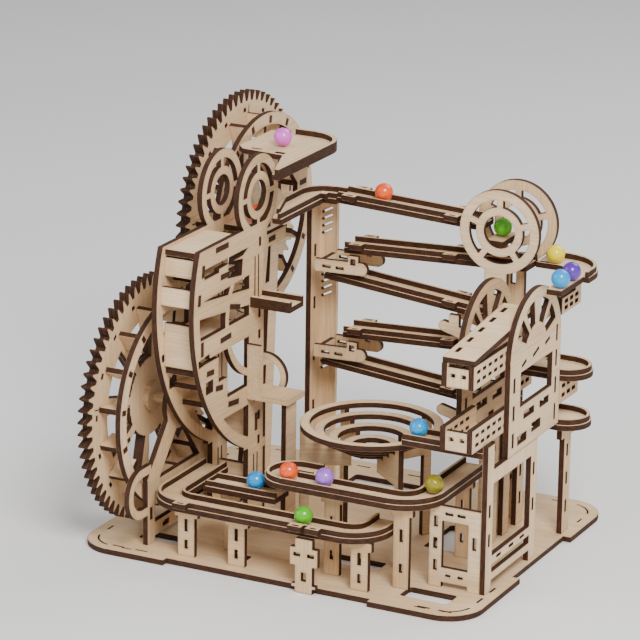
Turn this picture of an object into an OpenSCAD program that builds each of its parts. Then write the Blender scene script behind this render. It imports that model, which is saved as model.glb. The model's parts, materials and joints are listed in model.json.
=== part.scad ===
// Hand-cranked plywood marble run: two lifting wheels, a zigzag tower,
// five sloping rails, a stepped funnel and three tracks near one base.
// X runs along the front edge, Y to the back, Z up. Origin: centre of the base underside.

/* [Stock] */
// Plywood sheet thickness
ply = 3; // [2.8:0.1:3.2]
// Clearance around a tab in its slot
tab_gap = 0.05; // [0.03:0.01:0.1]
// Marble diameter
marble_d = 10; // [9:0.5:10.5]

/* [Base] */
// Base plate length along X
base_w = 231; // [228:1:240]
// Base plate depth along Y
base_d = 190; // [188:1:200]
// Corner radius of the base plate
base_r = 20; // [12:1:24]

/* [Lifting wheels] */
// Number of teeth on each wheel
wheel_teeth = 64; // [60:2:72]
// Pitch radius of each wheel
wheel_pitch_r = 65.6; // [65:0.1:66]
// Height of a tooth
tooth_h = 5.3; // [4.6:0.1:5.6]
// Number of marble pockets on each wheel
pockets = 16; // [12:2:20]
// Axle diameter
axle_d = 6; // [5:0.5:7]
// Radial clearance between an axle and its bearing hole
axle_gap = 0.06; // [0.04:0.01:0.1]
// Throw of the hand crank
crank_throw = 34; // [28:1:40]

/* [Left tower] */
// Inner gap between the two tower plates
tower_gap = 19; // [18:0.5:20]
// Outer radius of the ring on top of each plate
tower_ring_r = 22.5; // [21:0.5:23]
// Radius of the curved front edge
tower_arc_r = 96; // [94:0.5:98]

/* [Rails] */
// Clear width between the rims of a track
track_w = 11; // [10.8:0.1:11.4]
// Width of a track rim
rim_w = 2.5; // [2:0.1:2.8]

/* [Right tower] */
// Radius of the arched top of the side plates
arch_r = 33; // [31:0.5:34]
// Outer radius of the two round end plates
end_ring_r = 22.9; // [21:0.1:24]

/* [Funnel] */
// Outer radius of the top funnel ring
funnel_r = 38; // [36:0.5:39]
// Number of stepped rings
funnel_rings_n = 4; // [3:1:5]

/* [Hidden] */
$fn = 64;
top_of_base = ply;
marble_r = marble_d / 2;
marble_lift = 0.3;

// wheels: right faces of the toothed discs lie at x = wheel_x
wheel_x = -97;
lower_c = [-44.2, 74];
mesh_angle = 36.46;
upper_c = lower_c + 2 * wheel_pitch_r * [cos(mesh_angle), sin(mesh_angle)];
tooth_root_r = wheel_pitch_r + 1.6 - tooth_h;
tooth_tip_r = wheel_pitch_r + 1.6;
pocket_w = 11;
inner_ring_x = wheel_x + pocket_w;
support_x = -81.5;
support2_x = -63.2;
carrier_tie_z = [173, 187];
pocket_step = 360 / pockets;
window_r1 = 46;
window_r0 = 22;
tab_r = 53;
tab_len = 4;

// left tower
tower_x0 = -75;
tower_x1 = tower_x0 + ply + tower_gap;
tower_ring_c = [-10, 184];
tower_arc_c = [14.5, 133.5];
bar_y0 = -20;
bar_y1 = -3;
// each cross board: [y, z, tilt, depth, tab length]
tower_boards = [
    [-47, 149, -1.5, 34, 10], [-36, 128.8, -15.3, 40, 12], [-46, 114.2, 1.5, 46, 12],
    [-63, 99.6, -5, 18, 8], [-53, 88.4, -8, 20, 8], [-37, 75.4, -7, 34, 12]];
tower_lid = [-50.5, 165.2, -0.6, 44, 14];
tower_front = [[-71, 157.5, 84, 10, 6], [-75.2, 142.5, 84, 10, 6], [-72, 115, 90, 24, 8]];
tower_back = [[6, 156, 0, 18, 8], [-11, 57, 90, 20, 10], [-11, 22, 90, 20, 10]];

// rails along X
rail_y0 = 35;
rail_yc = rail_y0 + rim_w + track_w / 2;
track_out = track_w + 2 * rim_w;
rim_set = 0.8;
rail_y1 = rail_y0 + track_out;
// each rail: [x left, z left, x right, z right] of the floor underside
rails = [[-26, 172.2, 60, 168.4], [-21, 144.6, 86.6, 149.5], [-33, 128.5, 62, 119.6],
         [-21, 96.6, 79.6, 101.4], [-34, 79.2, 79.6, 69]];
// eyelets on the left end: yes where no bracket stands beside the rail
rail_left_eye = [true, true, false, true, false];
rail_right_eye_x = 39;
eye_out = 3.2;

// post
post_x = -47;
post_front_y = 41;
post_back_y = rail_y1 + 1;
bracket_y = rail_y0 - ply - 0.2;

// right tower
plate_a_x = 79;
plate_b_x = 106;
plate_y0 = -34;
plate_y1 = 32;
arch_c = [-1, 121];
plate_z0 = 70;
end_ring_c = [73, 171];
end_plate_y = [29, rail_y1 + 2];
box_x0 = 88;
box_x1 = plate_b_x;

// funnel
funnel_c = [26, -24];
funnel_z = 70;
funnel_step = 4;
funnel_band = 5;
funnel_pitch = 7.5;
entry_z = 77;
entry_y = -59;

// tracks near the base: long low track, short inner lane, raised track
low_track_z = 30;
inner_lane_z = 37;
high_track_z = 48;

/* ---------- flat outlines ---------- */

module round_rect(w, d, r) {
    square([w - 2 * r, d], center = true);
    square([w, d - 2 * r], center = true);
    for (sx = [-1, 1], sy = [-1, 1])
        translate([sx * (w / 2 - r), sy * (d / 2 - r)]) circle(r);
}

// straight strip from p to q, cut square at its ends
module strip(p, q, w) {
    translate(p) rotate(atan2(q[1] - p[1], q[0] - p[0])) translate([0, -w / 2]) square([norm(q - p), w]);
}

// straight strip with half-round ends
module pill(p, q, w) {
    turn = atan2(q[1] - p[1], q[0] - p[0]);
    polygon(concat(
        [for (a = [-90:7.5:90]) q + w / 2 * [cos(turn + a), sin(turn + a)]],
        [for (a = [90:7.5:270]) p + w / 2 * [cos(turn + a), sin(turn + a)]]));
}

module ring2(outer_r, inner_r) {
    difference() {
        circle(outer_r);
        circle(inner_r);
    }
}

// ring sector between two angles, square ends
module sector(outer_r, inner_r, a0, a1) {
    steps = 12;
    angle = (a1 - a0) / steps;
    polygon(concat(
        [for (i = [0:steps]) outer_r * [cos(a0 + angle * i), sin(a0 + angle * i)]],
        [for (i = [steps:-1:0]) inner_r * [cos(a0 + angle * i), sin(a0 + angle * i)]]));
}

module slot(c, w, h, tilt = 0) {
    translate(c) rotate(tilt) square([w, h], center = true);
}

/* ---------- boards standing or lying in the run ---------- */

// outline in (Y, Z), from x to x + ply
module board_x(x, t = ply) {
    translate([x, 0, 0]) rotate([90, 0, 90]) linear_extrude(t) children();
}

// outline in (X, Z), from y to y + ply
module board_y(y, t = ply) {
    translate([0, y + t, 0]) rotate([90, 0, 0]) linear_extrude(t) children();
}

// outline in (X, Y), from z to z + ply
module board_z(z, t = ply) {
    translate([0, 0, z]) linear_extrude(t) children();
}

// board across two x plates, with one tab through each; b = [y, z, tilt, depth, tab]
module cross_board(x0, x1, b) {
    translate([0, b[0], b[1]]) rotate([b[2], 0, 0]) {
        translate([x0, -b[3] / 2, -ply / 2]) cube([x1 - x0, b[3], ply]);
        translate([x0 - ply, -b[4] / 2, -ply / 2]) cube([x1 - x0 + 2 * ply, b[4], ply]);
    }
}

module tab_hole(b) {
    slot([b[0], b[1]], b[4] + 2 * tab_gap, ply + 2 * tab_gap, b[2]);
}

/* ---------- base ---------- */

base_windows = [[-76, -66, 26, 11], [-28, -71, 12, 7], [30, -48, 30, 12], [83.5, -72.5, 27, 13],
                [-60, 26, 24, 36], [0, 64, 60, 20], [62, 8, 22, 36]];

module base_plate() {
    color("burlywood") board_z(0) difference() {
        round_rect(base_w, base_d, base_r);
        translate([-1, -base_d / 2]) square([120, 7.4], center = true);
        translate([base_w / 2, 6]) square([9, 68], center = true);
        for (w = base_windows) translate([w[0], w[1]]) round_rect(w[2], w[3], 1.5);
        for (sx = [-1, 1], sy = [-1, 1]) scale([sx, sy])
            translate([base_w / 2 - base_r, base_d / 2 - base_r]) {
                sector(base_r - 5.5, base_r - 6.4, 12, 78);
                slot([base_r - 6, -9], 1, 6);
                slot([-9, base_r - 6], 6, 1);
            }
        for (x = [-48:16:48]) slot([x, base_d / 2 - 8], 8, 1.2);
        for (x = [-92, -78, 88, 100]) slot([x, -base_d / 2 + 7], 7, 1.2);
        for (y = [-66, -50]) slot([base_w / 2 - 6, y], 1.2, 7);
    }
}

// small front stand that grips the notch in the front edge
module front_stand() {
    color("burlywood") board_y(-base_d / 2 + 0.7) {
        difference() {
            union() {
                slot([22, 15], 10, 30);
                slot([22, 20], 16, 10);
                slot([22, 3.9], 14, 1.8);
            }
            slot([22, 9], 3, 5);
            slot([18, 21], 4, 2);
            slot([26, 21], 4, 2);
        }
    }
}

/* ---------- lifting wheels ---------- */

module tooth_outline() {
    step = 360 / wheel_teeth;
    root_half = 2.1 / tooth_root_r * 180 / PI;
    tip_half = 0.5 / tooth_tip_r * 180 / PI;
    polygon([for (i = [0:wheel_teeth - 1], k = [0:3])
        let (r = (k == 0 || k == 3) ? tooth_root_r : tooth_tip_r,
             off = k == 0 ? -root_half : k == 1 ? -tip_half : k == 2 ? tip_half : root_half)
        r * [cos(i * step + off), sin(i * step + off)]]);
}

// toothed disc: rim, 8 windows, hub and joint lines; turned so that the pair meshes
module gear_outline(turn) {
    rotate(turn) difference() {
        tooth_outline();
        for (i = [0:7]) rotate(i * 45) sector(window_r1, window_r0, 6, 39);
        for (i = [0:3]) rotate(i * 90 + 45) translate([49, -0.2]) square([10.5, 0.4]);
        for (i = [0:15]) rotate(i * 22.5 + 4.5) translate([57, 0]) square([2, 3], center = true);
        for (i = [0:pockets - 1]) rotate(i * pocket_step)
            translate([tab_r, 0]) square([tab_len + 2 * tab_gap, ply + 2 * tab_gap], center = true);
        circle(d = axle_d);
    }
}

module wheel_disc(c, x, turn) {
    translate([0, c[0], c[1]]) board_x(x) gear_outline(turn);
}

// flat ring that closes the marble pockets on the tower side
module wheel_ring(c, turn) {
    translate([0, c[0], c[1]]) board_x(inner_ring_x) rotate(turn) difference() {
        ring2(57, 50);
        for (i = [0:pockets - 1]) rotate(i * pocket_step)
            translate([tab_r, 0]) square([tab_len + 2 * tab_gap, ply + 2 * tab_gap], center = true);
    }
}

// paddles between the toothed disc and the ring, each tabbed into both
module wheel_paddles(c, turn) {
    translate([0, c[0], c[1]]) for (i = [0:pockets - 1])
        rotate([i * pocket_step + turn, 0, 0]) {
            translate([wheel_x, 42, -ply / 2]) cube([pocket_w, 13, ply]);
            translate([wheel_x - 2 * ply, tab_r - tab_len / 2, -ply / 2])
                cube([pocket_w + 3 * ply, tab_len, ply]);
        }
}

lower_turn = mesh_angle;
upper_turn = mesh_angle + 180 / wheel_teeth;

module lower_gear_outer() {
    color("peru") wheel_disc(lower_c, wheel_x - 2 * ply, lower_turn);
}

module lower_gear_inner() {
    color("wheat") wheel_disc(lower_c, wheel_x - ply, lower_turn);
}

module lower_wheel_ring() {
    color("wheat") wheel_ring(lower_c, lower_turn);
}

module lower_wheel_paddles() {
    color("tan") wheel_paddles(lower_c, lower_turn);
}

module upper_gear_outer() {
    color("peru") wheel_disc(upper_c, wheel_x - 2 * ply, upper_turn);
}

module upper_gear_inner() {
    color("wheat") wheel_disc(upper_c, wheel_x - ply, upper_turn);
}

module upper_wheel_ring() {
    color("wheat") wheel_ring(upper_c, upper_turn);
}

module upper_wheel_paddles() {
    color("tan") wheel_paddles(upper_c, upper_turn);
}

// round axle with a hub collar against each side of the disc
module axle(c, x0, x1, collars) {
    translate([0, c[0], c[1]]) rotate([0, 90, 0]) {
        translate([0, 0, x0]) cylinder(d = axle_d, h = x1 - x0);
        for (x = collars) translate([0, 0, x]) cylinder(d = 16, h = ply);
    }
}

crank_x = wheel_x - 2 * ply - 2 * ply;
crank_turn = -10;

module lower_axle() {
    color("sienna") axle(lower_c, crank_x, support_x + ply + 1.5, [wheel_x - 3 * ply, wheel_x]);
}

module upper_axle() {
    color("sienna")
        axle(upper_c, wheel_x - 3 * ply - 2, support_x + ply + 1.5, [wheel_x - 3 * ply, wheel_x]);
}

crank_end = crank_throw * [cos(crank_turn), sin(crank_turn)];

module crank_arm() {
    color("wheat") difference() {
        translate([0, lower_c[0], lower_c[1]]) union() {
            board_x(crank_x) {
                pill([0, 0], crank_end, 14);
            }
            translate([crank_x, crank_end[0], crank_end[1]]) rotate([0, -90, 0]) cylinder(d = 5, h = 17);
            translate([crank_x - 17, crank_end[0], crank_end[1]])
                rotate([0, -90, 0]) cylinder(d = 8, h = 1.5);
        }
        translate([crank_x - 1, lower_c[0], lower_c[1]])
            rotate([0, 90, 0]) cylinder(d = axle_d, h = ply + 2);
    }
}

module crank_knob() {
    color("sienna") translate([crank_x - 16.6, lower_c[0] + crank_end[0], lower_c[1] + crank_end[1]])
        rotate([0, 90, 0]) difference() {
            union() {
                cylinder(d = 10, h = 16);
                translate([0, 0, 3]) cylinder(d = 12, h = 10);
            }
            translate([0, 0, -1]) cylinder(d = 5 + 0.16, h = 18);
        }
}

/* ---------- wheel supports ---------- */

module bearing_hole(c) {
    translate(c) circle(d = axle_d + 2 * axle_gap);
}

// standing frame for the lower wheel, with a curved front arm
module lower_wheel_support() {
    color("burlywood") board_x(support_x) difference() {
        union() {
            translate(lower_c) circle(15);
            strip([-76, top_of_base], [-76, 40], 8);
            strip([-76, 36], lower_c, 12);
            strip([-14, top_of_base], [-14, 40], 8);
            strip([-14, 36], lower_c, 12);
            strip([-80, 10], [-10, 10], 8);
            strip([-78, 34], [-12, 34], 7);
            translate([-86, 34]) difference() {
                ring2(14, 9);
                translate([0, -30]) square([30, 60]);
            }
            strip([-86, 45.5], [-76, 45.5], 5);
            strip([-86, 22.5], [-76, 22.5], 5);
        }
        bearing_hole(lower_c);
        for (y = [-60, -45, -30]) slot([y, 10], 7, 3);
        slot([-76, 20], 3, 7);
        translate([-100, -10]) square([100, 10 + top_of_base]);
    }
}

// top of both rear plates: a shelf for the tray on a braced stem
module tray_carrier() {
    strip([upper_c[0], 168], [upper_c[0], tray_z], 12);
    strip([upper_c[0] - 24, tray_z - 4], [upper_c[0] + 6, tray_z - 4], 8);
    strip([upper_c[0] - 20, tray_z - 4], [upper_c[0], 172], 6);
}

module carrier_slots() {
    for (z = carrier_tie_z) slot([62, z], 8 + 2 * tab_gap, ply + 2 * tab_gap);
}

// tall rear frame for the upper wheel, its legs leaning back
rear_foot_y = [30, 56];

module rear_support_left() {
    color("burlywood") board_x(support_x) difference() {
        union() {
            translate(upper_c) circle(15);
            strip([rear_foot_y[0], top_of_base], [upper_c[0] - 7, upper_c[1]], 10);
            strip([rear_foot_y[1], top_of_base], [upper_c[0] + 4, upper_c[1]], 10);
            strip([34, 30], [58, 30], 8);
            strip([41, 70], [61, 70], 8);
            strip([48, 110], [63, 110], 8);
            translate([upper_c[0] - 6, upper_c[1]]) square([12, 20]);
            tray_carrier();
        }
        bearing_hole(upper_c);
        carrier_slots();
        for (f = [0.3, 0.58, 0.82])
            slot([rear_foot_y[0] + 24.3 * f, top_of_base + 149 * f], 2.6, 8, -9);
        translate([0, -10]) square([120, 10 + top_of_base]);
    }
}

module rear_support_right() {
    color("burlywood") board_x(support2_x) difference() {
        tray_carrier();
        carrier_slots();
        for (y = [-14, -5]) slot([upper_c[0] + y, tray_z - 4], 5, 1.8);
    }
}

drop_shelf_z = 162;
ring_shelf_z = 161.4;

module cross_ties() {
    color("tan") {
        for (z = carrier_tie_z) cross_board(support_x + ply, support2_x, [62, z, 0, 11, 8]);
        for (z = [30, 120]) {
            translate([65.5, end_plate_y[0] + ply, z - ply / 2])
                cube([12, end_plate_y[1] - end_plate_y[0] - ply, ply]);
            translate([67.5, end_plate_y[0], z - ply / 2])
                cube([8, end_plate_y[1] - end_plate_y[0] + ply, ply]);
        }
        // drop shelf between the two round end plates
        translate([64, end_plate_y[0] + ply, drop_shelf_z])
            cube([10, end_plate_y[1] - end_plate_y[0] - ply, ply]);
        // rest between the tower's ring plates
        translate([tower_x0 + ply, -8, ring_shelf_z]) cube([tower_gap, 18, ply]);
    }
}

/* ---------- left tower ---------- */

module tower_arc(r) {
    translate(tower_arc_c) circle(r, $fn = 128);
}

// open side plate of the tower: curved rim, upright, rungs, and the ring on top
module tower_outline() {
    difference() {
        union() {
            // curved front rim, closed by the upright
            intersection() {
                translate(tower_arc_c) ring2(tower_arc_r, tower_arc_r - 6.5, $fn = 128);
                translate([-90, 40]) square([90, 128.5]);
            }
            // top band
            intersection() {
                tower_arc(tower_arc_r);
                union() {
                    translate([-90, 158]) square([90, 10.5]);
                    strip([-82, 147], [-16, 149], 13);
                    strip([-82, 137.5], [-10, 129], 9);
                    strip([-86, 114], [-6, 114], 12);
                    translate([-90, 84]) square([36, 22]);
                    translate([-64, 70]) square([20, 22]);
                    strip([-80, 75], [-6, 75], 11);
                }
            }
            // inner curved rib
            intersection() {
                translate([-8.8, 122]) ring2(38, 34);
                translate([-60, 79]) square([52, 84]);
            }
            // upright down to the base
            translate([bar_y0, top_of_base]) square([bar_y1 - bar_y0, 162]);
            // arm towards the back
            strip([bar_y0, 156], [22, 156], 7);
            translate([-25, 44.3]) square([12, 7]);
            translate(tower_ring_c) ring2(tower_ring_r, tower_ring_r - 5);
            translate(tower_ring_c) ring2(13, 8.5);
            for (a = [0, 90, 180, 270]) translate(tower_ring_c) rotate(a)
                strip([12.5, 0], [tower_ring_r - 4.5, 0], 3);
            strip([-16, 166], [-16, 160], 9);
        }
        // openings left between the rungs
        translate([-70, 152.5]) square([16, 4]);
        slot([-36, 150], 16, 9, -8);
        slot([-70, 108], 12, 4, 6);
        slot([-64, 92], 8, 7);
        for (z = [26, 82, 138]) for (dy = [-2, 2])
            slot([(bar_y0 + bar_y1) / 2 + dy, z], 1.1, 26);
        for (z = [46, 60, 106, 118, 158]) slot([bar_y1 - 5, z], 2.4, 5);
        for (b = concat(tower_boards, [tower_lid], tower_front, tower_back)) tab_hole(b);
    }
}

module tower_plate_left() {
    color("peru") board_x(tower_x0) tower_outline();
}

module tower_plate_right() {
    color("wheat") board_x(tower_x1) tower_outline();
}

module tower_ramps() {
    color("tan") for (b = tower_boards) cross_board(tower_x0 + ply, tower_x1, b);
}

module tower_covers() {
    color("moccasin") for (b = concat([tower_lid], tower_front, tower_back))
        cross_board(tower_x0 + ply, tower_x1, b);
}

/* ---------- small plates right of the tower ---------- */

shelf_x0 = tower_x1 + ply;

module mid_shelf() {
    color("burlywood") {
        difference() {
            translate([shelf_x0, -19, 124]) cube([24, 16, ply]);
            translate([shelf_x0 + 15, -11, 123]) cube([5, 2, 5]);
        }
        translate([shelf_x0, -19, 127]) cube([24, rim_w, ply]);
        translate([shelf_x0, -5.5, 127]) cube([24, rim_w, ply]);
    }
}

// standing loop on a small table beside the tower
loop_table_z = 73;
loop_c = [-50.6, 80];
loop_r = 13;

module loop_stand() {
    color("moccasin") {
        translate([shelf_x0, -22, loop_table_z]) cube([25, 20, ply]);
        translate([-30, -20, top_of_base]) cube([ply, 12, loop_table_z - top_of_base]);
        board_y(0) {
            translate(loop_c) ring2(loop_r, loop_r - 3.5);
            translate([loop_c[0] - 8, top_of_base]) square([7, loop_c[1] - 10.5 - top_of_base]);
        }
        translate([shelf_x0, -22, loop_table_z + ply]) cube([8, ply, 28]);
    }
}

/* ---------- tracks ---------- */

// top tray beside the upper wheel's exit, with a rounded far corner and a rim at the back
tray_z = 197;
tray_corner_r = 20;
tray_corner_c = [-52, 42];

module top_tray_corner(inset) {
    intersection() {
        translate(tray_corner_c) circle(tray_corner_r - inset);
        translate(tray_corner_c) square(40);
    }
}

module top_tray() {
    color("moccasin") {
        board_z(tray_z) difference() {
            union() {
                polygon([[-80, 24], [-75, 18.5], [-49.5, 16], [-37.5, -18], [-36, -22], [-32, -22],
                         [-32, 42], [-52, 62], [-80, 62]]);
                top_tray_corner(0);
            }
            slot([-68, 22], 6, 2);
            slot([-53, 20], 6, 3);
        }
        board_z(tray_z + ply) {
            translate([-64, 62 - rim_w]) square([12, rim_w]);
            difference() {
                top_tray_corner(0);
                top_tray_corner(rim_w);
            }
            translate([-32 - rim_w, -22]) square([rim_w, 64]);
        }
    }
}

// channel along X: floor and two rims, ends carry small eyelets
module rail(n) {
    r = rails[n];
    len = norm([r[2] - r[0], r[3] - r[1]]);
    translate([r[0], rail_y0, r[1]]) rotate([0, -atan2(r[3] - r[1], r[2] - r[0]), 0]) {
        difference() {
            cube([len, track_out, ply]);
            for (x = [8:12:len - 8]) translate([x, track_out / 2 - 1, -1]) cube([6, 2, ply + 2]);
        }
        for (y = [rim_set, track_out - rim_w]) translate([0, y, ply]) cube([len, rim_w - rim_set, ply]);
        for (x = concat(rail_left_eye[n] ? [4] : [], [rail_right_eye_x - r[0]]))
            for (y = [-eye_out, track_out - 0.9]) translate([x, y, ply]) difference() {
                cube([8, eye_out + 0.9, ply]);
                translate([2.2, 1.3, -1]) cube([3.6, 1.5, ply + 2]);
            }
    }
}

module rail_1() {
    color("wheat") rail(0);
}

module rail_2() {
    color("tan") rail(1);
}

module rail_3() {
    color("wheat") rail(2);
}

module rail_4() {
    color("tan") rail(3);
}

module rail_5() {
    color("wheat") rail(4);
}

// track along the tower, turning by the post into the first rail
corner_x0 = -49.6;
corner_z = 171;
corner_y0 = -15;
corner_cut = 10.5;

module corner_area(inset) {
    polygon([[corner_x0 + corner_cut + inset, corner_y0], [corner_x0 + track_out - inset, corner_y0],
             [corner_x0 + track_out - inset, rail_y0], [corner_x0 + inset, rail_y0],
             [corner_x0 + inset, 16]]);
    intersection() {
        translate([corner_x0 + track_out, rail_y0]) circle(track_out - inset);
        translate([corner_x0, rail_y0]) square([track_out, track_out]);
    }
    translate([corner_x0 + track_out, rail_y0 + inset])
        square([-26.4 - corner_x0 - track_out, track_out - 2 * inset]);
}

module corner_track() {
    color("wheat") {
        board_z(corner_z) corner_area(0);
        board_z(corner_z + ply) difference() {
            corner_area(rim_set);
            corner_area(rim_w);
            translate([-30, rail_y0 + rim_w]) square([10, track_w]);
            translate([corner_x0 + rim_w, corner_y0 - 1]) square([track_w, 10]);
        }
        board_z(corner_z + ply)
            translate([corner_x0 + track_out - rim_w, rail_y0 - rim_w]) square(2 * rim_w);
    }
}

/* ---------- post ---------- */

module post_plates() {
    color("burlywood") {
        board_x(post_x) difference() {
            translate([post_front_y, top_of_base])
                square([post_back_y - post_front_y, corner_z - top_of_base]);
            for (z = [20:30:150]) slot([post_front_y + 5, z], 2.5, 7);
        }
        board_y(post_back_y) difference() {
            translate([post_x, top_of_base]) square([13, corner_z - top_of_base]);
            for (g = [24, 70, 112, 148], k = [0:3])
                translate([post_x + 4.4, g + k * 4]) rotate(28) square([7, 1.2]);
        }
    }
}

module bracket_outline(x0, z) {
    difference() {
        union() {
            pill([post_x + 9, z], [post_x + 38, z + 1], 7);
            slot([post_x + 33, z + 4], 6, 8);
        }
        for (x = [17, 25]) slot([post_x + x, z], 5, 1.6);
        slot([post_x + 33, z + 4.5], 3, 3.5);
        translate([post_x, z - 10]) square([x0 - post_x, 20]);
    }
}

module post_brackets() {
    color("burlywood") for (z = [136.5, 87.5]) {
        translate([post_x + 10.2, bracket_y, z - 2]) cube([ply, post_back_y - bracket_y, 4]);
        board_y(bracket_y) bracket_outline(post_x + 9.6, z);
        board_y(post_back_y) bracket_outline(post_x + 13, z);
    }
}

/* ---------- right tower ---------- */

// round end plate on a tall stem
module end_plate_outline() {
    difference() {
        union() {
            translate(end_ring_c) ring2(end_ring_r, 17.5);
            translate(end_ring_c) ring2(13.5, 9);
            for (a = [0:72:359]) translate(end_ring_c) rotate(a + 18) strip([13, 0], [18, 0], 3.6);
            translate([65, top_of_base]) square([13, 147]);
            pill([42, 114.5], [66, 108], 6);
            pill([42, 67], [66, 61], 6);
            slot([48, 117], 6, 9);
        }
        for (z = [20:24:140]) slot([71.5, z], 3, 8);
    }
}

module end_ring_front() {
    color("wheat") board_y(end_plate_y[0]) difference() {
        end_plate_outline();
        for (z = [30, 120]) slot([71.5, z], 8 + 2 * tab_gap, ply + 2 * tab_gap);
    }
}

module end_ring_back() {
    color("peru") board_y(end_plate_y[1]) difference() {
        end_plate_outline();
        for (z = [30, 120]) slot([71.5, z], 8 + 2 * tab_gap, ply + 2 * tab_gap);
    }
}

// arched side plate with a fan of slots, a window and slotted rails
module arch_outline() {
    difference() {
        union() {
            translate(arch_c) circle(arch_r, $fn = 96);
            translate([plate_y0, plate_z0]) square([plate_y1 - plate_y0, arch_c[1] - plate_z0]);
        }
        translate(arch_c) {
            for (a = [22, 55, 98, 131]) sector(27, 14, a, a + 24);
        }
        translate([-20, 94]) square([41.5, 19]);
        slot([-16, 117], 6, 1.8, 20);
        slot([-1, 119], 8, 1.8, 20);
        slot([14, 121], 6, 1.8, 20);
        slot([-8, 88], 14, 4);
        slot([12, 88], 12, 4);
        slot([2, 78], 12, 5);
        slot([-16, 76], 12, 5);
        for (z = [78, 93, 108]) slot([-28, z], 2.6, 8);
        for (z = [78, 93, 108, 122]) slot([26.5, z], 2.2, 9);
    }
}

module arch_plate_left() {
    color("burlywood") board_x(plate_a_x) {
        arch_outline();
        for (y = [8, 24]) translate([y, top_of_base]) square([8, plate_z0 - top_of_base]);
    }
}

module arch_plate_right() {
    color("wheat") board_x(plate_b_x) arch_outline();
}

upper_box_z = 118;
box_high = 12.5;
box_front_y = -72.4;

module chute_roof() {
    color("moccasin") translate([box_x0, -72, upper_box_z + box_high]) rotate([6, 0, 0]) {
        difference() {
            cube([box_x1 - box_x0, 76, ply]);
            for (y = [8:14:66]) translate([3, y, -1]) cube([2, 6, ply + 2]);
        }
    }
}

// box panels with small rows of slots
module box_side(y0, z0, len, high) {
    difference() {
        translate([y0, z0]) square([len, high]);
        for (i = [0:len / 7 - 2], k = [0:1])
            slot([y0 + 6 + i * 7, z0 + high * (0.3 + 0.4 * k)], 4.2, 1.8);
    }
}

module box(z0, high) {
    board_x(box_x1 - ply) box_side(-73, z0, 60, high);
    board_x(box_x0) box_side(-73, z0, 38.5, high);
    board_y(box_front_y) difference() {
        translate([box_x0 + ply, z0]) square([box_x1 - box_x0 - 2 * ply, high - 2]);
        for (x = [3, 9]) slot([box_x0 + ply + x, z0 + high / 2], 2.6, 2);
    }
    translate([box_x0 + ply, box_front_y + ply, z0]) cube([box_x1 - box_x0 - 2 * ply, 35, ply]);
}

module upper_box() {
    color("burlywood") box(upper_box_z, box_high);
}

module lower_box() {
    color("burlywood") box(84, box_high);
}

module side_frame() {
    color("wheat") board_x(plate_b_x) difference() {
        union() {
            translate([-59, top_of_base]) square([8, 81]);
            translate([-3, top_of_base]) square([8, plate_z0 - top_of_base]);
            strip([-55, 20], [1, 20], 5);
            strip([-55, 11], [1, 11], 4);
            translate([-59, 62]) square([64, 8]);
        }
        for (z = [32, 48]) slot([-55, z], 2.4, 7);
        for (y = [-42, -26, -12]) slot([y, 20], 6, 1.6);
        for (z = [34, 54]) slot([1, z], 2.4, 7);
    }
}

module front_frame() {
    color("burlywood") board_y(-59) difference() {
        translate([77, top_of_base]) square([plate_b_x - 77, high_track_z - top_of_base]);
        translate([84, 14]) square([15, 26]);
        for (z = [15, 27, 39]) slot([80.5, z], 2.2, 6);
        for (x = [88, 95]) slot([x, 44], 4.5, 1.6);
        for (x = [88, 95]) slot([x, 10], 3, 1.4);
        slot([102.5, 30], 2.2, 7);
        translate([84, -1]) square([15, 7]);
    }
}

// flat tray with a half-round end past the right tower; c = centre of the round end
module turn_area(c, r, x0, inset) {
    intersection() {
        translate(c) circle(r - inset);
        translate([c[0], c[1] - r]) square([r, 2 * r]);
    }
    translate([x0, c[1] - r + inset]) square([c[0] - x0, 2 * (r - inset)]);
}

module turn_tray(z, c, r, x0) {
    board_z(z) difference() {
        turn_area(c, r, x0, 0);
        for (y = [-9, 9]) slot([94, c[1] + y], 6, 2);
    }
    board_z(z + ply) difference() {
        turn_area(c, r, x0, rim_set);
        turn_area(c, r, x0, rim_w);
        translate([x0 - 1, c[1] - r + rim_w]) square([10, 2 * (r - rim_w)]);
    }
}

turn_top_z = 149.2;
turn_mid_z = 93;
turn_low_z = 65;

// top tray: lane that turns a quarter to the front, open on its inner side, with a narrow tongue
turn_top_c = [101, 40.5];
turn_top_r = 22.4;
turn_top_x0 = 87;
turn_top_tail = 7.5;
turn_tongue = [8.5, 29];

module turn_top_lane(band) {
    intersection() {
        translate(turn_top_c) ring2(turn_top_r, turn_top_r - band);
        translate(turn_top_c) square(turn_top_r);
    }
    translate([turn_top_x0, turn_top_c[1] + turn_top_r - band]) square([turn_top_c[0] - turn_top_x0, band]);
    translate([turn_top_c[0] + turn_top_r - band, turn_top_c[1] - turn_top_tail])
        square([band, turn_top_tail]);
}

module turn_tray_top() {
    color("moccasin") {
        board_z(turn_top_z) {
            difference() {
                turn_top_lane(track_out);
                slot([91, turn_top_c[1] + 8.6], 5, 1.6);
            }
            translate([111.5, turn_top_c[1] - turn_top_tail - turn_tongue[1]]) square(turn_tongue);
        }
        board_z(turn_top_z + ply) difference() {
            turn_top_lane(rim_w);
            turn_top_lane(rim_set);
        }
    }
}

module turn_tray_middle() {
    color("moccasin") turn_tray(turn_mid_z, [107, 46.8], 14, plate_a_x + 1);
}

module turn_tray_low() {
    color("moccasin") turn_tray(turn_low_z, [107, 46.8], 14, plate_a_x + 1);
}

// perforated brackets behind the arched plates, and the post under the low tray
module tray_bracket_outline(z0, high) {
    difference() {
        translate([plate_y1, z0]) square([26, high]);
        for (i = [0:2], k = [0:1]) slot([plate_y1 + 6 + i * 7, z0 + high * (0.3 + 0.4 * k)], 4.6, 2.2);
    }
}

top_bracket_z = 130;
top_bracket_h = 9;

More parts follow.
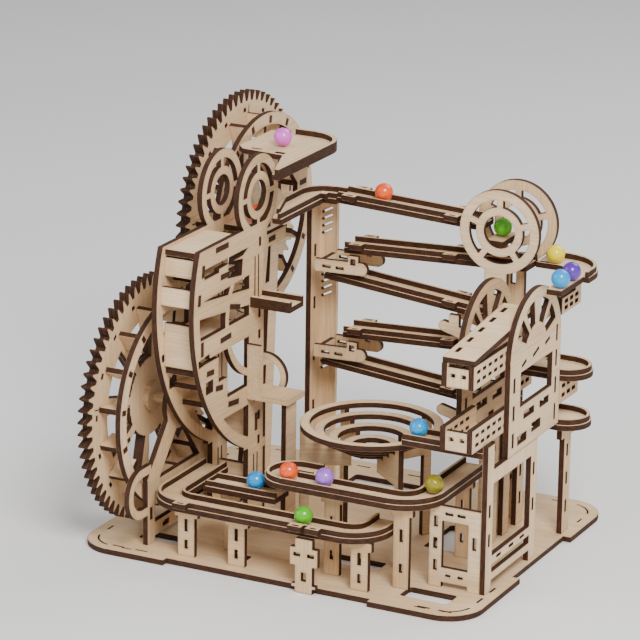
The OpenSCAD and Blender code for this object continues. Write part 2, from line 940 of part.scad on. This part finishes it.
module tray_brackets() {
    color("burlywood") {
        board_x(plate_b_x) {
            tray_bracket_outline(top_bracket_z, top_bracket_h);
            translate([50, top_bracket_z + top_bracket_h])
                square([8, turn_top_z - top_bracket_z - top_bracket_h]);
        }
        translate([plate_b_x - ply, 18, top_bracket_z + 1]) cube([ply, 26, 7]);
        for (x = [plate_a_x, plate_b_x]) {
            board_x(x) tray_bracket_outline(turn_mid_z - 13, 13);
            board_x(x) difference() {
                union() {
                    translate([42, top_of_base]) square([9, turn_low_z - top_of_base]);
                    translate([38, turn_low_z - 7]) square([17, 7]);
                }
                for (z = [18, 34, 50]) slot([46.5, z], 2.4, 7);
            }
        }
    }
}

/* ---------- funnel ---------- */

module funnel_ring(i) {
    r = funnel_r - i * funnel_pitch;
    translate([funnel_c[0], funnel_c[1], funnel_z - i * funnel_step])
        linear_extrude(ply) ring2(r, r - funnel_band, $fn = 96);
}

module funnel_rings() {
    color("tan") for (i = [0:funnel_rings_n - 1]) funnel_ring(i);
}

module funnel_entry() {
    color("wheat") {
        translate([60, entry_y, entry_z]) difference() {
            cube([plate_b_x - 60, track_out, ply]);
            for (x = [6, 26]) translate([x, track_out / 2 - 1, -1]) cube([8, 2, ply + 2]);
        }
        for (y = [rim_set, track_out - rim_w]) translate([60, entry_y + y, entry_z + ply])
            cube([plate_b_x - 60, rim_w - rim_set, ply]);
    }
}

/* ---------- tracks near the base ---------- */

// quarter turn of a track: c = inner corner, dir = quadrant signs
module quarter(c, r, dir, inset, inner) {
    intersection() {
        translate(c) ring2(r - inset, inner + inset);
        translate(c) scale(dir) square([r, r]);
    }
}

// low track: left leg, front lane, right leg
low_x0 = -76;
low_y0 = -91;
low_bend = 22;

module low_area(inset) {
    inner = low_bend - track_out;
    translate([low_x0 + inset, low_y0 + low_bend]) square([track_out - 2 * inset, 45]);
    quarter([low_x0 + low_bend, low_y0 + low_bend], low_bend, [-1, -1], inset, inner);
    translate([low_x0 + low_bend, low_y0 + inset]) square([92, track_out - 2 * inset]);
    quarter([low_x0 + low_bend + 92, low_y0 + low_bend], low_bend, [1, -1], inset, inner);
    translate([low_x0 + 92 + 2 * low_bend - track_out + inset, low_y0 + low_bend])
        square([track_out - 2 * inset, 14]);
}

module low_track() {
    color("wheat") {
        board_z(low_track_z) difference() {
            low_area(0);
            for (x = [-44:18:28]) slot([x, low_y0 + track_out / 2], 9, 2);
        }
        board_z(low_track_z + ply) difference() {
            low_area(rim_set);
            low_area(rim_w);
        }
        for (x = [-56, 12, 22]) translate([x, low_y0 - eye_out, low_track_z + ply]) difference() {
            cube([8, eye_out + 0.9, ply]);
            translate([2.2, 1.3, -1]) cube([3.6, 1.5, ply + 2]);
        }
    }
}

// short lane behind the low track's front lane
module inner_lane() {
    color("tan") translate([-48, -73, inner_lane_z]) {
        difference() {
            cube([42, track_out, ply]);
            for (x = [6, 20]) translate([x, track_out / 2 - 1, -1]) cube([9, 2, ply + 2]);
        }
        for (y = [rim_set, track_out - rim_w]) translate([0, y, ply]) cube([42, rim_w - rim_set, ply]);
    }
}

// raised track: left turn back, front lane, right leg towards the right tower
high_c = [0, -62];
high_len = 60;
high_bend = 24;

module high_area(inset) {
    r = track_out;
    bend_c = [high_c[0] + high_len, high_c[1] - track_out + high_bend];
    intersection() {
        translate(high_c) circle(r - inset);
        translate([high_c[0] - r, high_c[1] - r]) square([r, 2 * r]);
    }
    translate([high_c[0], high_c[1] + inset]) square([10, track_out - 2 * inset]);
    translate([high_c[0], high_c[1] - track_out + inset]) square([high_len, track_out - 2 * inset]);
    quarter(bend_c, high_bend, [1, -1], inset, high_bend - track_out);
    translate([bend_c[0] + high_bend - track_out + inset, bend_c[1]]) square([track_out - 2 * inset, 54]);
}

module high_track() {
    color("wheat") {
        board_z(high_track_z) difference() {
            high_area(0);
            for (x = [14:16:46]) slot([x, high_c[1] - track_out / 2], 9, 2);
        }
        board_z(high_track_z + ply) difference() {
            high_area(rim_set);
            high_area(rim_w);
            translate([high_c[0] - 1, high_c[1] - rim_w]) square([22, rim_w]);
        }
        board_z(high_track_z + ply) translate([high_c[0] + 3, high_c[1] - rim_w])
            square([57, rim_w - rim_set]);
    }
}

// stepped rib that carries every funnel ring, with its foot on the base
funnel_rib_z = 49;

module funnel_leg(a) {
    translate([funnel_c[0], funnel_c[1], 0]) rotate(a) board_y(-ply / 2) {
        for (i = [0:funnel_rings_n - 1])
            translate([funnel_r - i * funnel_pitch - funnel_band, funnel_rib_z])
                square([i == 0 ? funnel_band : funnel_pitch, funnel_z - i * funnel_step - funnel_rib_z]);
        translate([funnel_r - funnel_band, top_of_base]) square([funnel_band, funnel_rib_z - top_of_base]);
    }
}

// slotted stands under the tracks and the funnel
module stand(x, y, w, top) {
    board_y(y) difference() {
        union() {
            translate([x, top_of_base]) square([w, top - top_of_base]);
            translate([x - 2, top - 5]) square([w + 4, 5]);
        }
        slot([x + w / 2, top_of_base + (top - top_of_base) * 0.65], 2, 7);
        slot([x + w / 2, top_of_base + (top - top_of_base) * 0.25], 2, 5);
    }
}

module track_posts() {
    color("burlywood") {
        for (x = [-58, -28, 44]) stand(x, -84, 10, low_track_z);
        stand(-40, -66, 8, inner_lane_z);
        for (x = [22, 62]) stand(x, -71, 9, high_track_z);
        stand(72, -16, 8, high_track_z);
        for (a = [60, 140, 205, 320]) funnel_leg(a);
    }
}

/* ---------- marbles ---------- */

module marble(p) {
    translate(p) sphere(marble_r);
}

function rail_floor(n, x) =
    rails[n][1] + (rails[n][3] - rails[n][1]) * (x - rails[n][0]) / (rails[n][2] - rails[n][0]) + ply;

marble_up = marble_r + marble_lift;

module marble_rail() {
    color("orangered") marble([-1.5, rail_yc, rail_floor(0, -1.5) + marble_up + 0.05]);
}

module marble_low_track() {
    color("limegreen") marble([16, low_y0 + track_out / 2, low_track_z + ply + marble_up]);
}

module marble_inner_lane() {
    color("deepskyblue") marble([-21.5, -73 + track_out / 2, inner_lane_z + ply + marble_up]);
}

module marble_high_front() {
    color("orchid") marble([21.5, high_c[1] - track_out / 2, high_track_z + ply + marble_up]);
}

module marble_high_side() {
    color("olive") marble([76, -52, high_track_z + ply + marble_up]);
}

module marble_entry() {
    color("deepskyblue") marble([66, entry_y + track_out / 2, entry_z + ply + marble_up]);
}

module marble_top_tray() {
    color("violet") marble([-58, 33, tray_z + ply + marble_up]);
}

// marbles at rest on the trays and in the rings
module marbles_parked() {
    color("gold") marble([97, 50, turn_top_z + ply + marble_r]);
    color("mediumpurple") marble([116.8, 24.5, turn_top_z + ply + marble_r]);
    color("deepskyblue") marble([117, 9.5, turn_top_z + ply + marble_r]);
    color("orangered") marble([0.6, high_c[1] - 8.3, high_track_z + ply + marble_r]);
    color("limegreen") marble([69, rail_yc, drop_shelf_z + ply + marble_r]);
    color("orangered") marble([68, rail_yc, rail_floor(1, 68) + marble_r + 0.01]);
    color("darkorange") marble([-58, 4.6, ring_shelf_z + ply + marble_r]);
}

/* ---------- what is drawn ---------- */

base_plate();
front_stand();
lower_gear_outer();
lower_gear_inner();
lower_wheel_ring();
lower_wheel_paddles();
lower_axle();
crank_arm();
crank_knob();
upper_gear_outer();
upper_gear_inner();
upper_wheel_ring();
upper_wheel_paddles();
upper_axle();
lower_wheel_support();
rear_support_left();
rear_support_right();
cross_ties();
tower_plate_left();
tower_plate_right();
tower_ramps();
tower_covers();
mid_shelf();
loop_stand();
top_tray();
corner_track();
rail_1();
rail_2();
rail_3();
rail_4();
rail_5();
post_plates();
post_brackets();
end_ring_front();
end_ring_back();
arch_plate_left();
arch_plate_right();
chute_roof();
upper_box();
lower_box();
side_frame();
front_frame();
turn_tray_top();
turn_tray_middle();
turn_tray_low();
tray_brackets();
funnel_rings();
funnel_entry();
low_track();
inner_lane();
high_track();
track_posts();
marble_rail();
marble_low_track();
marble_inner_lane();
marble_high_front();
marble_high_side();
marble_entry();
marble_top_tray();
marbles_parked();
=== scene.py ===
import json
import math
import random

import bmesh
import bpy
from mathutils import Matrix, Vector
from mathutils.bvhtree import BVHTree


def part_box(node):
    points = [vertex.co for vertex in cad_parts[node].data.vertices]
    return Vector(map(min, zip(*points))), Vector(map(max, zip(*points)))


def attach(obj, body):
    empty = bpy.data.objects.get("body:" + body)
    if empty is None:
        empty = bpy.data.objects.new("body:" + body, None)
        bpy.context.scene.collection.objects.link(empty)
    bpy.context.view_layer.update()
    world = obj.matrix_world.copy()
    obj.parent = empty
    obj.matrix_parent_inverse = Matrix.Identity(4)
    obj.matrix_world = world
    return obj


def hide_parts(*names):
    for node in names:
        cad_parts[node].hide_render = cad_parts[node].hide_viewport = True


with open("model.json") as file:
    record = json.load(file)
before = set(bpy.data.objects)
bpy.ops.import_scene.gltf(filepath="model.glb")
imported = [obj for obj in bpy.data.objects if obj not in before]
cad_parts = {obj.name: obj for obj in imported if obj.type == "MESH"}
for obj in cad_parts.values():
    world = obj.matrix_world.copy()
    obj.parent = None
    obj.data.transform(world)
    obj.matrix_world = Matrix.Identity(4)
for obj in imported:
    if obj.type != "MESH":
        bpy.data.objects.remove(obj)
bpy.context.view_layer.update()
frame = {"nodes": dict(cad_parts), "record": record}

MM = 0.001
BODIES = frame["record"]["behaviour"]["bodies"]
BODY_OF = {name: body for body, names in BODIES.items() for name in names}
SLOT_OF = {row["node"]: row["material_slot"] for row in frame["record"]["subparts"]}


# ---------- shader helpers ----------

def new_material(name):
    """Empty node material with one Principled shader."""
    mat = bpy.data.materials.new(name)
    mat.use_nodes = True
    tree = mat.node_tree
    tree.nodes.clear()
    out = tree.nodes.new("ShaderNodeOutputMaterial")
    bsdf = tree.nodes.new("ShaderNodeBsdfPrincipled")
    tree.links.new(bsdf.outputs[0], out.inputs[0])
    return mat, tree, bsdf


def node(tree, kind, **values):
    """New node with the given properties."""
    n = tree.nodes.new(kind)
    for key, value in values.items():
        setattr(n, key, value)
    return n


def feed(tree, socket, value):
    """Set an input to a number or colour, or link it to an output."""
    if isinstance(value, (int, float)):
        socket.default_value = value
    elif isinstance(value, tuple):
        socket.default_value = (*value, 1)
    else:
        tree.links.new(value, socket)


def ramp(tree, fac, stops):
    """Colour ramp with stops of (position, colour)."""
    n = tree.nodes.new("ShaderNodeValToRGB")
    while len(n.color_ramp.elements) < len(stops):
        n.color_ramp.elements.new(0.5)
    for element, (position, colour) in zip(n.color_ramp.elements, stops):
        element.position = position
        element.color = (*colour, 1)
    tree.links.new(fac, n.inputs[0])
    return n.outputs[0]


def mix(tree, kind, fac, a, b):
    """Colour mix of a and b."""
    n = node(tree, "ShaderNodeMix", data_type="RGBA", blend_type=kind)
    for value, index in ((fac, 0), (a, 6), (b, 7)):
        feed(tree, n.inputs[index], value)
    return n.outputs[2]


def math_node(tree, op, a, b=0.0, c=0.0):
    """Math node on up to three inputs."""
    n = node(tree, "ShaderNodeMath", operation=op)
    for index, value in enumerate((a, b, c)):
        feed(tree, n.inputs[index], value)
    return n.outputs[0]


def stretched(tree, vector, *scale):
    """Vector scaled along each axis."""
    n = node(tree, "ShaderNodeMapping")
    n.inputs["Scale"].default_value = scale
    tree.links.new(vector, n.inputs["Vector"])
    return n.outputs[0]


def noise(tree, vector, scale, detail, rough):
    """Fractal noise value."""
    n = node(tree, "ShaderNodeTexNoise")
    n.inputs["Scale"].default_value = scale
    n.inputs["Detail"].default_value = detail
    n.inputs["Roughness"].default_value = rough
    tree.links.new(vector, n.inputs["Vector"])
    return n.outputs[0]


def scaled(colour, factor):
    """Colour times a factor, at most 1 in each channel."""
    return tuple(min(1, factor * c) for c in colour)


# ---------- wood ----------

WHITE = (1.0, 1.0, 1.0)
SMOKE_BROWN = (0.30, 0.15, 0.07)
SCORCH_REACH = 1.3 * MM
SCORCH = 0.6
PLY_LAYER = 1.0 * MM


def grain_vector(tree):
    """Position in the board's own directions: along the grain, across it, and through the sheet."""
    return node(tree, "ShaderNodeAttribute", attribute_name="grain").outputs["Vector"]


def scorch_halo(tree, grain):
    """Uneven smoke stain beside the cuts, 0 to 1."""
    near = node(tree, "ShaderNodeAmbientOcclusion", inside=True, only_local=True, samples=6)
    near.inputs["Distance"].default_value = SCORCH_REACH
    edge = math_node(tree, "MULTIPLY_ADD", near.outputs["AO"], -2.2, 2.2)
    smoke = noise(tree, stretched(tree, grain, 240, 240, 240), 1.0, 3.0, 0.6)
    return math_node(tree, "MULTIPLY", edge, math_node(tree, "MULTIPLY_ADD", smoke, 1.3, -0.1))


def ply_face(name, light, dark):
    """Birch veneer: grain streaks, fine pores, faint cloudiness, smoky stain beside the cuts."""
    mat, tree, bsdf = new_material(name)
    grain = grain_vector(tree)
    tint = node(tree, "ShaderNodeAttribute", attribute_name="tint").outputs["Fac"]
    mean = tuple(0.5 * (a + b) for a, b in zip(light, dark))

    broad = noise(tree, stretched(tree, grain, 9, 90, 90), 1.0, 5.0, 0.6)
    streak = noise(tree, stretched(tree, grain, 26, 900, 900), 1.0, 6.0, 0.65)
    pore = noise(tree, stretched(tree, grain, 160, 2600, 2600), 1.0, 2.0, 0.5)
    cloud = noise(tree, stretched(tree, grain, 30, 45, 45), 1.0, 3.0, 0.5)

    base = ramp(tree, broad, [(0.32, dark), (0.62, light)])
    streaks = ramp(tree, streak, [(0.36, scaled(mean, 0.80)), (0.6, scaled(light, 1.10))])
    colour = mix(tree, "MIX", 0.45, base, streaks)
    pores = ramp(tree, pore, [(0.30, (0.74, 0.66, 0.56)), (0.42, WHITE)])
    colour = mix(tree, "MULTIPLY", 0.55, colour, pores)
    clouds = ramp(tree, cloud, [(0.3, (0.90, 0.86, 0.80)), (0.7, WHITE)])
    colour = mix(tree, "MULTIPLY", 0.8, colour, clouds)
    tints = ramp(tree, tint, [(0.0, (0.86, 0.77, 0.66)), (0.5, (1.0, 0.96, 0.92)),
                              (1.0, (1.08, 1.04, 1.0))])
    colour = mix(tree, "MULTIPLY", 0.9, colour, tints)
    halo = math_node(tree, "MULTIPLY", scorch_halo(tree, grain), SCORCH)
    colour = mix(tree, "MIX", halo, colour, SMOKE_BROWN)

    tree.links.new(colour, bsdf.inputs["Base Color"])
    bsdf.inputs["Roughness"].default_value = 0.62
    bsdf.inputs["Specular IOR Level"].default_value = 0.32
    bump = node(tree, "ShaderNodeBump")
    bump.inputs["Strength"].default_value = 0.10
    bump.inputs["Distance"].default_value = 0.2 * MM
    tree.links.new(streak, bump.inputs["Height"])
    tree.links.new(bump.outputs[0], bsdf.inputs["Normal"])
    return mat


def burnt_edge(name, light, dark):
    """Laser-cut ply edge: charred brown with faint ply layers and uneven char."""
    mat, tree, bsdf = new_material(name)
    grain = grain_vector(tree)
    char = noise(tree, stretched(tree, grain, 260, 260, 1500), 1.0, 4.0, 0.6)
    colour = ramp(tree, char, [(0.30, dark), (0.72, light)])
    through = node(tree, "ShaderNodeSeparateXYZ")
    tree.links.new(grain, through.inputs[0])
    depth = math_node(tree, "MULTIPLY", through.outputs[2], 2 * math.pi / PLY_LAYER)
    wave = math_node(tree, "MULTIPLY_ADD", math_node(tree, "SINE", depth), 0.5, 0.5)
    bands = ramp(tree, wave, [(0.25, (0.72, 0.66, 0.60)), (0.75, WHITE)])
    colour = mix(tree, "MULTIPLY", 0.6, colour, bands)
    tree.links.new(colour, bsdf.inputs["Base Color"])
    bsdf.inputs["Roughness"].default_value = 0.72
    bsdf.inputs["Specular IOR Level"].default_value = 0.25
    return mat


def turned_wood(name, light, dark):
    """Round dowel wood with grain along X."""
    mat, tree, bsdf = new_material(name)
    place = node(tree, "ShaderNodeTexCoord").outputs["Object"]
    grain = noise(tree, stretched(tree, place, 30, 700, 700), 1.0, 5.0, 0.6)
    tree.links.new(ramp(tree, grain, [(0.32, dark), (0.66, light)]), bsdf.inputs["Base Color"])
    bsdf.inputs["Roughness"].default_value = 0.5
    return mat


WOOD = {
    "birch_pale": ply_face("birch_pale", (0.80, 0.64, 0.44), (0.66, 0.48, 0.29)),
    "birch_warm": ply_face("birch_warm", (0.74, 0.56, 0.36), (0.58, 0.40, 0.22)),
}
EDGE = burnt_edge("burnt_edge", (0.085, 0.033, 0.014), (0.020, 0.008, 0.005))
DOWEL = turned_wood("dowel", (0.62, 0.44, 0.26), (0.44, 0.28, 0.14))


# ---------- which faces of a board show veneer ----------

STOCK = 3.0 * MM
CUT_EDGE = 1.13 * STOCK     # a flat face narrower than this is a cut edge
STOCK_SLACK = 0.05 * STOCK
SHEET_SHARE = 0.3           # least share of a veneer face with one sheet behind it
LEAST_AREA = 60 * MM * MM   # flat directions with less area than this are cut edges
SAME_WAY = 0.999            # cosine above which two normals count as one
RAY_START = 1e-6
RAY_REACH = 0.05


def islands(bm):
    """Connected groups of faces."""
    seen = set()
    for start in bm.faces:
        if start.index in seen:
            continue
        group, stack = [], [start]
        seen.add(start.index)
        while stack:
            f = stack.pop()
            group.append(f)
            for e in f.edges:
                for g in e.link_faces:
                    if g.index not in seen:
                        seen.add(g.index)
                        stack.append(g)
        yield group


def flat_patches(faces):
    """Connected coplanar faces."""
    todo = set(faces)
    for start in faces:
        if start not in todo:
            continue
        todo.discard(start)
        patch, stack = [start], [start]
        while stack:
            for e in stack.pop().edges:
                for f in e.link_faces:
                    if f in todo and f.normal.dot(start.normal) > SAME_WAY:
                        todo.discard(f)
                        patch.append(f)
                        stack.append(f)
        yield patch


def flat_directions(faces):
    """Faces grouped by the line of their normals, as (normal, faces)."""
    directions = []
    for f in faces:
        for normal, group in directions:
            if abs(normal.dot(f.normal)) > SAME_WAY:
                group.append(f)
                break
        else:
            directions.append((f.normal.copy(), [f]))
    return directions


def face_area(faces):
    """Total area of some faces."""
    return sum(f.calc_area() for f in faces)


def narrow_side(patch):
    """Shorter side of a flat patch, along its longest edge or across it."""
    longest = max((e for f in patch for e in f.edges), key=lambda e: e.calc_length())
    along = (longest.verts[1].co - longest.verts[0].co).normalized()
    sides = []
    for axis in (along, patch[0].normal.cross(along)):
        reach = [v.co.dot(axis) for f in patch for v in f.verts]
        sides.append(max(reach) - min(reach))
    return min(sides)


def sheet_area(patch, tree, triangles):
    """Area of a flat patch with one sheet's thickness of material behind it."""
    total = 0.0
    inward = -patch[0].normal
    for f in patch:
        for a, b, c in triangles[f.index]:
            middle = (a + b + c) / 3
            points = (middle, (middle + a) / 2, (middle + b) / 2, (middle + c) / 2)
            share = (b - a).cross(c - a).length / 2 / len(points)
            for p in points:
                place, _, _, depth = tree.ray_cast(p + inward * RAY_START, inward, RAY_REACH)
                if place is not None and abs(depth - STOCK) < STOCK_SLACK:
                    total += share
    return total


def veneer_faces(faces, tree, triangles):
    """Faces that show veneer, and the main sheet's normal: the direction with most sheet in it."""
    veneer = set()
    best, main, main_group = -1.0, None, None
    for normal, group in flat_directions(faces):
        area = face_area(group)
        score = 0.001 * area    # decides only where no direction has a sheet in it
        if area > LEAST_AREA:
            for patch in flat_patches(group):
                sheet = sheet_area(patch, tree, triangles)
                if narrow_side(patch) > CUT_EDGE and sheet > SHEET_SHARE * face_area(patch):
                    veneer.update(f.index for f in patch)
                    score += sheet
        if score > best:
            best, main, main_group = score, normal, group
    veneer.update(f.index for f in main_group)
    return veneer, main


# ---------- boards: burnt edges, own grain per board ----------

WORN_EDGE = 0.12 * MM
WORN_ANGLE = math.radians(50)
SAME_POINT = 1e-7
FLAT_ANGLE = 0.002
GRAIN_AXES = [Vector((1, 0, 0)), Vector((0, 1, 0)), Vector((0, 0, 1))]


def new_object(name, mesh):
    """Object for a mesh, linked into the scene."""
    ob = bpy.data.objects.new(name, mesh)
    bpy.context.scene.collection.objects.link(ob)
    return ob


def lay_grain(group, main, rng, grain, tint):
    """Give one board its grain direction, its place in the veneer and its tint."""
    n = main.normalized()
    u = rng.choice([axis for axis in GRAIN_AXES if abs(axis.dot(n)) < 0.7])
    u = (u - n * u.dot(n)).normalized()
    w = n.cross(u)
    shift = Vector((rng.uniform(0, 9), rng.uniform(0, 9), 0))
    shade = rng.uniform(0.15, 0.95)
    low = min(v.co.dot(n) for f in group for v in f.verts)
    for f in group:
        for loop in f.loops:
            p = loop.vert.co
            loop[grain] = Vector((p.dot(u), p.dot(w), p.dot(n) - low)) + shift
            loop[tint] = shade


def board(node_name, face_mat):
    """Copy of a CAD node with veneer faces, burnt edges, worn corners and a grain of its own."""
    me = frame["nodes"][node_name].data.copy()
    me.materials.clear()
    me.materials.append(face_mat)
    me.materials.append(EDGE)
    bm = bmesh.new()
    bm.from_mesh(me)
    bmesh.ops.remove_doubles(bm, verts=bm.verts, dist=SAME_POINT)
    bmesh.ops.dissolve_limit(bm, angle_limit=FLAT_ANGLE, verts=bm.verts, edges=bm.edges)
    bm.faces.ensure_lookup_table()
    bm.faces.index_update()
    bm.normal_update()
    tree = BVHTree.FromBMesh(bm)
    triangles = {}
    for tri in bm.calc_loop_triangles():
        triangles.setdefault(tri[0].face.index, []).append([c.vert.co.copy() for c in tri])
    rng = random.Random(node_name)
    grain = bm.loops.layers.float_vector.new("grain")
    tint = bm.loops.layers.float.new("tint")
    for group in islands(bm):
        veneer, main = veneer_faces(group, tree, triangles)
        for f in group:
            f.material_index = 0 if f.index in veneer else 1
        lay_grain(group, main, rng, grain, tint)
    bm.to_mesh(me)
    bm.free()
    for p in me.polygons:
        p.use_smooth = False
    ob = new_object("look_" + node_name, me)
    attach(ob, BODY_OF[node_name])
    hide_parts(node_name)
    bevel = ob.modifiers.new("worn", "BEVEL")
    bevel.width = WORN_EDGE
    bevel.segments = 1
    bevel.limit_method = "ANGLE"
    bevel.angle_limit = WORN_ANGLE


for name, slot in SLOT_OF.items():
    if slot in WOOD:
        board(name, WOOD[slot])
    elif slot == "dowel":
        turned = frame["nodes"][name].data
        turned.materials.clear()
        turned.materials.append(DOWEL)


# ---------- marbles ----------

def marble_glaze(name, colour, swirl):
    """Opaque glossy marble with a faint swirl and tiny surface scratches."""
    mat, tree, bsdf = new_material(name)
    place = node(tree, "ShaderNodeTexCoord").outputs["Object"]
    cloud = noise(tree, place, 160, 2.0, 0.5)
    tree.links.new(ramp(tree, cloud, [(0.38, colour), (0.70, swirl)]), bsdf.inputs["Base Color"])
    wear = noise(tree, place, 2400, 3.0, 0.6)
    tree.links.new(math_node(tree, "MULTIPLY_ADD", wear, 0.16, 0.06), bsdf.inputs["Roughness"])
    bsdf.inputs["Coat Weight"].default_value = 0.15
    bsdf.inputs["Coat Roughness"].default_value = 0.05
    return mat


GLAZES = {
    "orange": ((0.82, 0.07, 0.008), (0.90, 0.13, 0.02)),
    "green": ((0.07, 0.40, 0.006), (0.12, 0.50, 0.015)),
    "blue": ((0.0, 0.22, 0.62), (0.01, 0.32, 0.74)),
    "lilac": ((0.30, 0.11, 0.60), (0.40, 0.18, 0.70)),
    "olive": ((0.28, 0.25, 0.01), (0.38, 0.34, 0.03)),
    "cyan": ((0.0, 0.27, 0.66), (0.0, 0.36, 0.78)),
    "pink": ((0.68, 0.10, 0.62), (0.78, 0.18, 0.72)),
    "yellow": ((0.84, 0.68, 0.004), (0.92, 0.78, 0.015)),
    "purple": ((0.08, 0.02, 0.34), (0.13, 0.04, 0.46)),
}
GLAZE = {k: marble_glaze("marble_" + k, *v) for k, v in GLAZES.items()}
ROLLING = {
    "marble_rail": "orange", "marble_low_track": "green", "marble_inner_lane": "blue",
    "marble_high_front": "lilac", "marble_high_side": "olive", "marble_entry": "cyan",
    "marble_top_tray": "pink",
}
# parked marbles: glaze, and roughly where each one rests, in mm
PARKED = {
    "yellow": ("yellow", (97, 50, 157)),
    "purple": ("purple", (116.8, 24.5, 157)),
    "cyan": ("cyan", (117, 9.5, 157)),
    "orange": ("orange", (0.6, -70.3, 56)),
    "green": ("green", (69, 43, 170)),
    "red": ("orange", (68, 43, 157)),
    "amber": ("orange", (-58, 4.6, 169)),
}


def ball(name, centre, radius, mat, body, slot):
    """Smooth marble that rides on a body."""
    me = bpy.data.meshes.new(name)
    bm = bmesh.new()
    bmesh.ops.create_uvsphere(bm, u_segments=48, v_segments=32, radius=radius)
    for f in bm.faces:
        f.smooth = True
    bm.to_mesh(me)
    bm.free()
    me.materials.append(mat)
    ob = new_object(name, me)
    ob.location = centre
    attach(ob, body)
    return ob


def separate_balls(node_name):
    """Centre and radius of each separate ball of a node."""
    bm = bmesh.new()
    bm.from_mesh(frame["nodes"][node_name].data)
    bmesh.ops.remove_doubles(bm, verts=bm.verts, dist=SAME_POINT)
    bm.faces.index_update()
    bm.faces.ensure_lookup_table()
    balls = []
    for group in islands(bm):
        points = [v.co.copy() for f in group for v in f.verts]
        lo = Vector([min(p[i] for p in points) for i in range(3)])
        hi = Vector([max(p[i] for p in points) for i in range(3)])
        balls.append(((lo + hi) / 2, (hi - lo).x / 2))
    bm.free()
    return balls


for name, glaze in ROLLING.items():
    lo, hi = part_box(name)
    ob = ball("look_" + name, (lo + hi) / 2, (hi - lo).x / 2, GLAZE[glaze], name, SLOT_OF[name])
    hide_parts(name)

for centre, radius in separate_balls("marbles_parked"):
    key = min(PARKED, key=lambda k: (Vector(PARKED[k][1]) * MM - centre).length)
    ball("look_parked_" + key, centre, radius, GLAZE[PARKED[key][0]],
                       BODY_OF["marbles_parked"], SLOT_OF["marbles_parked"])
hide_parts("marbles_parked")


# ---------- floor ----------

FLOOR_HALF = 3.0
FLOOR_GREY = (0.80, 0.80, 0.80)

corners = [(-FLOOR_HALF, -FLOOR_HALF, 0), (FLOOR_HALF, -FLOOR_HALF, 0),
           (FLOOR_HALF, FLOOR_HALF, 0), (-FLOOR_HALF, FLOOR_HALF, 0)]
floor_mesh = bpy.data.meshes.new("floor")
floor_mesh.from_pydata(corners, [], [(0, 1, 2, 3)])
floor = new_object("floor", floor_mesh)
floor.location.z = -0.2 * MM
floor_mat, _, floor_bsdf = new_material("floor")
floor_bsdf.inputs["Base Color"].default_value = (*FLOOR_GREY, 1)
floor_bsdf.inputs["Roughness"].default_value = 0.85
floor_mesh.materials.append(floor_mat)


# ---------- light ----------

SKY = (0.95, 0.97, 1.0)
SKY_STRENGTH = 0.50
LIT_POINT = Vector((0, 0, 0.10))
# name: place, diameter, watts, colour
LIGHTS = {
    "key": ((0.75, -0.85, 1.15), 0.7, 30, (1.0, 0.97, 0.93)),
    "fill": ((-1.1, -0.8, 0.8), 1.2, 7, WHITE),
    "back": ((0.3, 1.0, 1.1), 0.9, 9, WHITE),
}

world = bpy.data.worlds.new("studio")
bpy.context.scene.world = world
world.use_nodes = True
sky = world.node_tree.nodes["Background"]
sky.inputs[0].default_value = (*SKY, 1)
sky.inputs[1].default_value = SKY_STRENGTH

for name, (place, size, watts, colour) in LIGHTS.items():
    light = bpy.data.lights.new(name, "AREA")
    light.shape = "DISK"
    light.size = size
    light.energy = watts
    light.color = colour
    lamp = new_object(name, light)
    lamp.location = place
    lamp.rotation_euler = (LIT_POINT - Vector(place)).to_track_quat("-Z", "Y").to_euler()


# ---------- camera ----------

AZIMUTH, ELEVATION, ROLL = math.radians(26.6), math.radians(17.5), math.radians(0.77)
DISTANCE = 1.8325
TARGET = Vector((0.0015, -0.038, 0.130))
LENS = 196.9
SENSOR = 36

forward = Vector((-math.sin(AZIMUTH) * math.cos(ELEVATION),
                  math.cos(AZIMUTH) * math.cos(ELEVATION),
                  -math.sin(ELEVATION)))
level_right = forward.cross(Vector((0, 0, 1))).normalized()
level_up = level_right.cross(forward)
right = level_right * math.cos(ROLL) + level_up * math.sin(ROLL)
up = level_up * math.cos(ROLL) - level_right * math.sin(ROLL)
camera_data = bpy.data.cameras.new("camera")
camera_data.lens = LENS
camera_data.sensor_width = SENSOR
camera = new_object("camera", camera_data)
turn = Matrix((right, up, -forward)).transposed().to_4x4()
camera.matrix_world = Matrix.Translation(TARGET - forward * DISTANCE) @ turn
bpy.context.scene.camera = camera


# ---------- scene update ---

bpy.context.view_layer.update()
